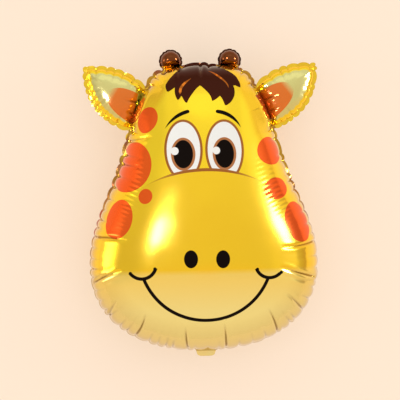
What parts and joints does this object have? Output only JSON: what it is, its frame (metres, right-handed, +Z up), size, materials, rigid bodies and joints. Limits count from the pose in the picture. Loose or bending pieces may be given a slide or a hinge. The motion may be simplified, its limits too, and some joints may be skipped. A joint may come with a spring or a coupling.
{
  "type": "giraffe head foil balloon",
  "caption": "Puffed foil balloon in the shape of a giraffe's head, with ears, horn knobs, a puckered weld flange and a filling neck, lying on its back.",
  "frame": {"origin": "on the surface that the balloon lies on, under the middle of its box", "axes": "+Z up, out of the face; +Y to the top of the head; +X to the viewer's right when looking at the face"},
  "size_m": [0.5352, 0.6996, 0.28],
  "materials": {
    "printed_foil": "metallised film, printed yellow with orange spots and a giraffe's face, mirror-like gloss"
  },
  "bodies": {
    "root": {"foil_balloon": "printed_foil"}
  },
  "joints": []
}
